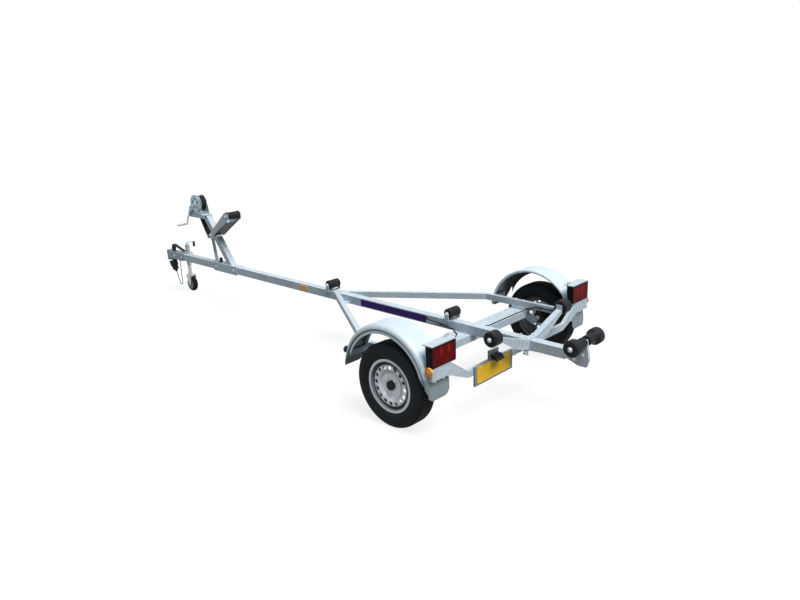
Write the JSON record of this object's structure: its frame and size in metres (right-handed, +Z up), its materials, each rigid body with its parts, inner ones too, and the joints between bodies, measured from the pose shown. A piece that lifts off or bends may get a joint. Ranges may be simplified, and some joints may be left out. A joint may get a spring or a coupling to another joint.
{
  "type": "boat trailer",
  "caption": "Single-axle boat trailer with a square draw tube, V-braced side rails, keel and side rollers, winch post with bow stop, fenders, rear lights and a jockey wheel.",
  "frame": {"origin": "on the floor, under the middle of the trailer's overall length and width", "axes": "+X towards the coupling, +Y to the trailer's left, +Z up"},
  "size_m": [5.232, 1.904, 1.129],
  "materials": {
    "amber_lens": "gloss",
    "black_plastic": "matte",
    "cable": "satin",
    "coupling_steel": "zinc plated",
    "galvanised": "dull zinc",
    "grey_plastic": "matte",
    "hub_steel": "dull",
    "light_housing": "satin",
    "red_lens": "gloss",
    "rim_steel": "silver",
    "roller_rubber": "matte",
    "strap": "woven",
    "tyre": "matte",
    "yellow_plate": "satin",
    "zinc_plate": "bright zinc"
  },
  "bodies": {
    "frame": {"axle_arms": "galvanised", "axle_tube": "galvanised", "bow_stop_arm": "galvanised", "bow_stop_pad": "roller_rubber", "coupling": "coupling_steel", "coupling_handle": "black_plastic", "cross_member": "galvanised", "draw_tube": "galvanised", "fender_left": "galvanised", "fender_right": "galvanised", "fender_stays": "galvanised", "front_lamps": "black_plastic", "jack_crank": "zinc_plate", "jack_tube": "zinc_plate", "keel_bracket_front": "galvanised", "keel_bracket_middle": "galvanised", "keel_bracket_rear": "galvanised", "light_beam": "galvanised", "light_housings": "light_housing", "light_lenses": "red_lens", "number_plate": "yellow_plate", "plate_holder": "grey_plastic", "plate_lamp": "black_plastic", "post_brace": "galvanised", "post_foot": "galvanised", "rail_gussets": "galvanised", "rail_seats": "galvanised", "roller_arms": "galvanised", "roller_clamp": "galvanised", "side_markers": "amber_lens", "side_rail_left": "galvanised", "side_rail_right": "galvanised", "side_reflectors": "amber_lens", "winch_base": "galvanised", "winch_crank": "zinc_plate", "winch_drum": "zinc_plate", "winch_frame": "zinc_plate", "winch_post": "galvanised", "winch_strap": "strap", "wiring_cable": "cable", "wiring_plug": "black_plastic"},
    "wheel_left": {"rim_left": "rim_steel", "tyre_left": "tyre", "hub_left": "hub_steel", "hub_cap_left": "black_plastic"},
    "wheel_right": {"rim_right": "rim_steel", "tyre_right": "tyre", "hub_right": "hub_steel", "hub_cap_right": "black_plastic"},
    "front_roller": {"keel_roller_front": "roller_rubber"},
    "middle_roller": {"keel_roller_middle": "roller_rubber"},
    "rear_roller": {"keel_roller_rear": "roller_rubber"},
    "left_roller": {"side_roller_left": "roller_rubber"},
    "right_roller": {"side_roller_right": "roller_rubber"},
    "jockey_leg": {"jack_leg": "zinc_plate"},
    "jockey_fork": {"jack_fork": "zinc_plate"},
    "jockey_wheel": {"jack_wheel": "roller_rubber"}
  },
  "joints": [
    {"name": "wheel_left_spin", "type": "hinge", "parent": "frame", "child": "wheel_left", "pos_m": [-1.698, 0.874, 0.288], "axis": [0, 1, 0], "continuous": true},
    {"name": "wheel_right_spin", "type": "hinge", "parent": "frame", "child": "wheel_right", "pos_m": [-1.698, -0.874, 0.288], "axis": [0, 1, 0], "continuous": true},
    {"name": "front_roller_spin", "type": "hinge", "parent": "frame", "child": "front_roller", "pos_m": [-0.144, 0, 0.505], "axis": [0, 1, 0], "continuous": true},
    {"name": "middle_roller_spin", "type": "hinge", "parent": "frame", "child": "middle_roller", "pos_m": [-1.472, 0, 0.505], "axis": [0, 1, 0], "continuous": true},
    {"name": "rear_roller_spin", "type": "hinge", "parent": "frame", "child": "rear_roller", "pos_m": [-2.56, 0, 0.514], "axis": [0, 1, 0], "continuous": true},
    {"name": "left_roller_spin", "type": "hinge", "parent": "frame", "child": "left_roller", "pos_m": [-2.1505, 0.43, 0.57], "axis": [0, 1, 0], "continuous": true},
    {"name": "right_roller_spin", "type": "hinge", "parent": "frame", "child": "right_roller", "pos_m": [-2.1505, -0.43, 0.57], "axis": [0, 1, 0], "continuous": true},
    {"name": "jockey_lift", "type": "slide", "parent": "frame", "child": "jockey_leg", "axis": [0, 0, 1], "range_m": [0, 0.1]},
    {"name": "jockey_swivel", "type": "hinge", "parent": "jockey_leg", "child": "jockey_fork", "pos_m": [2.362, -0.0853, 0.181], "axis": [0, 0, 1], "continuous": true},
    {"name": "jockey_wheel_spin", "type": "hinge", "parent": "jockey_fork", "child": "jockey_wheel", "pos_m": [2.337, -0.0853, 0.08], "axis": [0, 1, 0], "continuous": true}
  ]
}
